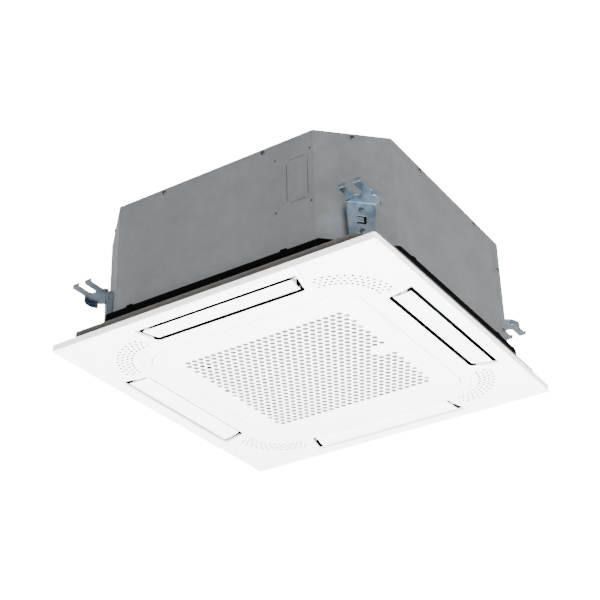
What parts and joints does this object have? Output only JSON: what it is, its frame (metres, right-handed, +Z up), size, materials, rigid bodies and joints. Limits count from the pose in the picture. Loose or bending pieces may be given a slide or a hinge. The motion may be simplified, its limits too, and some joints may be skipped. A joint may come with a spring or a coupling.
{
  "type": "ceiling cassette air conditioner",
  "caption": "Compact square ceiling cassette indoor unit: galvanised octagonal body on hanger brackets over a white panel with swinging outlet louvers and a hinged perforated inlet grille.",
  "frame": {"origin": "centre of the decoration panel's lower face", "axes": "+Z up towards the ceiling void, -Y towards the front outlet and the fresh air knock-out, +X towards the side where the inlet grille is hinged"},
  "size_m": [0.62, 0.62, 0.2605],
  "materials": {
    "panel_white": "smooth moulded white plastic",
    "latch_grey": "moulded light grey plastic",
    "seal_foam": "closed-cell grey-brown foam",
    "pan_black": "black moulded foam, fine skin",
    "filter_plastic": "pale moulded filter frame and net",
    "motor_white": "moulded stepper housing",
    "bush_black": "moulded bearing plastic",
    "zinc_steel": "bright zinc-plated pressed steel",
    "galvanised_steel": "galvanised sheet with a soft mottle",
    "liner_foam": "white bead foam",
    "bell_grey": "dark grey moulded plastic",
    "fan_plastic": "glass-filled dark plastic",
    "motor_black": "satin black painted can",
    "shaft_steel": "ground steel",
    "rubber_black": "matt moulded rubber",
    "fin_aluminium": "thin stacked fins",
    "copper": "drawn copper tube",
    "brass": "turned brass",
    "pump_plastic": "moulded pump housing",
    "pipe_plastic": "extruded drain tube",
    "stem_plastic": "moulded switch stem",
    "float_plastic": "foamed float",
    "board_green": "lacquered circuit board",
    "terminal_cream": "moulded terminal strip",
    "gland_black": "moulded cable gland"
  },
  "bodies": {
    "casing": {"panel_frame": "panel_white", "corner_cover_1": "panel_white", "corner_cover_2": "panel_white", "corner_cover_3": "panel_white", "corner_cover_4": "panel_white", "panel_seal": "seal_foam", "drain_pan": "pan_black", "louver_motor_1": "motor_white", "louver_motor_2": "motor_white", "louver_motor_3": "motor_white", "louver_motor_4": "motor_white", "louver_bushes": "bush_black", "panel_screws": "zinc_steel", "top_plate": "galvanised_steel", "side_sheet_front": "galvanised_steel", "side_sheet_back": "galvanised_steel", "liner_walls": "liner_foam", "liner_top": "liner_foam", "casing_screws": "zinc_steel", "hanger_bracket_1": "zinc_steel", "hanger_bracket_2": "zinc_steel", "hanger_bracket_3": "zinc_steel", "hanger_bracket_4": "zinc_steel", "bracket_screws": "zinc_steel", "bell_mouth": "bell_grey", "fan_motor": "motor_black", "motor_bolts": "zinc_steel", "motor_rubbers": "rubber_black", "evaporator_fins": "fin_aluminium", "coil_end_plates": "galvanised_steel", "return_bends": "copper", "gas_pipe": "copper", "liquid_pipe": "copper", "gas_flare_nut": "brass", "liquid_flare_nut": "brass", "pipe_plate": "galvanised_steel", "drain_pump": "pump_plastic", "drain_pipe": "pipe_plastic", "float_stem": "stem_plastic", "control_box": "galvanised_steel", "control_box_cover": "galvanised_steel", "circuit_board": "board_green", "terminal_block": "terminal_cream", "cable_gland": "gland_black"},
    "fan": {"fan_wheel": "fan_plastic", "fan_shroud": "fan_plastic", "motor_shaft": "shaft_steel", "fan_nut": "zinc_steel"},
    "louver_1": {"louver_1": "panel_white"},
    "louver_2": {"louver_2": "panel_white"},
    "louver_3": {"louver_3": "panel_white"},
    "louver_4": {"louver_4": "panel_white"},
    "grille": {"inlet_grille": "panel_white", "filter_frame": "filter_plastic", "filter_mesh": "filter_plastic", "grille_hinge_arms": "zinc_steel"},
    "latch_1": {"grille_latch_1": "latch_grey"},
    "latch_2": {"grille_latch_2": "latch_grey"},
    "float": {"float_ring": "float_plastic"}
  },
  "joints": [
    {"name": "fan_spin", "type": "hinge", "parent": "casing", "child": "fan", "pos_m": [0, 0, 0.15], "axis": [0, 0, 1], "continuous": true},
    {"name": "louver_1_swing", "type": "hinge", "parent": "casing", "child": "louver_1", "pos_m": [0, -0.263, 0.013], "axis": [1, 0, 0], "range_deg": [0, 70]},
    {"name": "louver_2_swing", "type": "hinge", "parent": "casing", "child": "louver_2", "pos_m": [0.263, 0, 0.013], "axis": [0, 1, 0], "range_deg": [0, 70]},
    {"name": "louver_3_swing", "type": "hinge", "parent": "casing", "child": "louver_3", "pos_m": [0, 0.263, 0.013], "axis": [-1, 0, 0], "range_deg": [0, 70]},
    {"name": "louver_4_swing", "type": "hinge", "parent": "casing", "child": "louver_4", "pos_m": [-0.263, 0, 0.013], "axis": [0, -1, 0], "range_deg": [0, 70]},
    {"name": "grille_swing", "type": "hinge", "parent": "casing", "child": "grille", "pos_m": [0.2025, 0, 0], "axis": [0, -1, 0], "range_deg": [0, 88]},
    {"name": "latch_1_slide", "type": "slide", "parent": "grille", "child": "latch_1", "axis": [1, 0, 0], "range_m": [0, 0.007]},
    {"name": "latch_2_slide", "type": "slide", "parent": "grille", "child": "latch_2", "axis": [1, 0, 0], "range_m": [0, 0.007]},
    {"name": "float_rise", "type": "slide", "parent": "casing", "child": "float", "axis": [0, 0, 1], "range_m": [0, 0.012]}
  ]
}
